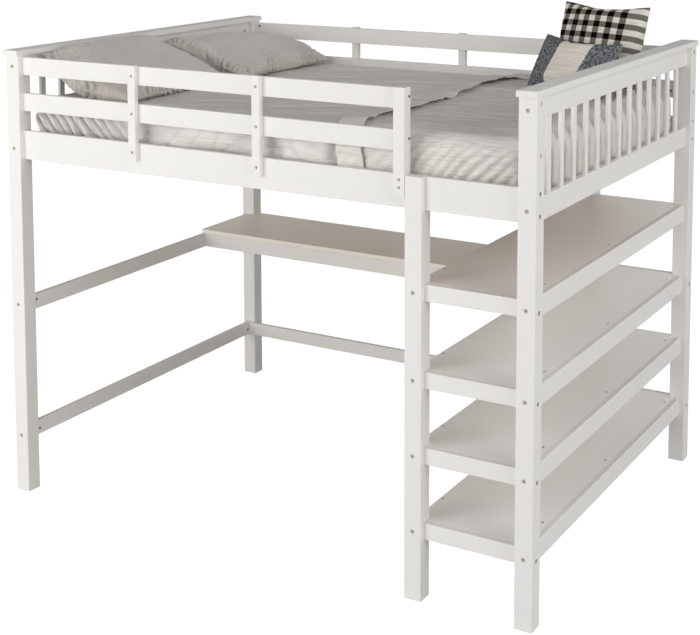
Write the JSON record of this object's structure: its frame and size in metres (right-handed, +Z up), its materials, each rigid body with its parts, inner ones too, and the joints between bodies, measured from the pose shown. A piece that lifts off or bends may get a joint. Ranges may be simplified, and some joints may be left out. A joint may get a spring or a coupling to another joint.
{
  "type": "loft bed",
  "caption": "Full-size loft bed with end caps and slatted ends, front guard with a climbing gap, rear desk board, open bookcase under the foot end, and made-up bedding.",
  "frame": {"origin": "on the floor, under the middle of the bed's plan outline", "axes": "+Z up, +X from the head end to the foot end, +Y from the open front to the desk side at the rear"},
  "size_m": [2.027, 1.503, 1.7383],
  "materials": {
    "white_paint": "satin white paint over solid pine",
    "desk_paint": "satin warm white paint on the desk board",
    "shelf_paint": "satin white paint on shelf boards",
    "bare_pine": "planed unpainted pine",
    "zinc_steel": "zinc-plated steel",
    "capped_steel": "nickel-plated steel with a soft white cap finish",
    "fitted_sheet": "light grey cotton jersey, gathered at the sides",
    "coverlet_cloth": "soft greige cotton sateen",
    "satin_cloth": "grey satin",
    "check_cloth": "woven black and cream check",
    "banded_cloth": "blue-grey woven cloth with a cream band"
  },
  "bodies": {
    "frame": {"barrel_nuts": "zinc_steel", "bed_slats": "bare_pine", "board_screws": "zinc_steel", "centre_beam": "bare_pine", "desk_apron": "white_paint", "desk_board": "desk_paint", "desk_rail_head": "white_paint", "desk_rail_rear": "white_paint", "foot_bed_rail": "white_paint", "foot_cap": "white_paint", "foot_post_front": "white_paint", "foot_post_rear": "white_paint", "foot_slats": "white_paint", "foot_top_rail": "white_paint", "frame_bolts": "zinc_steel", "guard_bolts": "capped_steel", "guard_end_post": "white_paint", "guard_front_lower": "white_paint", "guard_front_upper": "white_paint", "guard_rear_lower": "white_paint", "guard_rear_upper": "white_paint", "guard_upright_foot": "white_paint", "guard_upright_head": "white_paint", "guard_uprights_rear": "white_paint", "head_bed_rail": "white_paint", "head_cap": "white_paint", "head_post_front": "white_paint", "head_post_rear": "white_paint", "head_slats": "white_paint", "head_top_rail": "white_paint", "low_rail_head": "white_paint", "low_stretcher": "white_paint", "middle_post_front": "white_paint", "middle_post_rear": "white_paint", "shelf_1_board": "shelf_paint", "shelf_1_foot_rail": "white_paint", "shelf_1_front_rail": "white_paint", "shelf_2_board": "shelf_paint", "shelf_2_foot_rail": "white_paint", "shelf_2_front_rail": "white_paint", "shelf_3_board": "shelf_paint", "shelf_3_foot_rail": "white_paint", "shelf_3_front_rail": "white_paint", "shelf_4_board": "shelf_paint", "shelf_4_foot_rail": "white_paint", "shelf_4_front_rail": "white_paint", "shelf_cleats": "white_paint", "shelf_inner_rails": "white_paint", "shelf_rear_rails": "white_paint", "side_rail_front": "white_paint", "side_rail_rear": "white_paint", "slat_ledger_front": "bare_pine", "slat_ledger_rear": "bare_pine"},
    "mattress": {"mattress": "fitted_sheet"},
    "coverlet": {"coverlet": "coverlet_cloth"},
    "front_pillow": {"front_pillow": "satin_cloth"},
    "rear_pillow": {"rear_pillow": "satin_cloth"},
    "check_cushion": {"check_cushion": "check_cloth"},
    "banded_cushion": {"banded_cushion": "banded_cloth"}
  },
  "joints": [
    {"name": "mattress_lift", "type": "slide", "parent": "frame", "child": "mattress", "axis": [0, 0, 1], "range_m": [0, 0.45]},
    {"name": "coverlet_lift", "type": "slide", "parent": "mattress", "child": "coverlet", "axis": [0, 0, 1], "range_m": [0, 0.35]},
    {"name": "front_pillow_lift", "type": "slide", "parent": "mattress", "child": "front_pillow", "axis": [0, 0, 1], "range_m": [0, 0.35]},
    {"name": "rear_pillow_lift", "type": "slide", "parent": "mattress", "child": "rear_pillow", "axis": [0, 0, 1], "range_m": [0, 0.35]},
    {"name": "check_cushion_lift", "type": "slide", "parent": "coverlet", "child": "check_cushion", "axis": [0, 0, 1], "range_m": [0, 0.35]},
    {"name": "banded_cushion_lift", "type": "slide", "parent": "check_cushion", "child": "banded_cushion", "axis": [0, 0, 1], "range_m": [0, 0.3]}
  ]
}
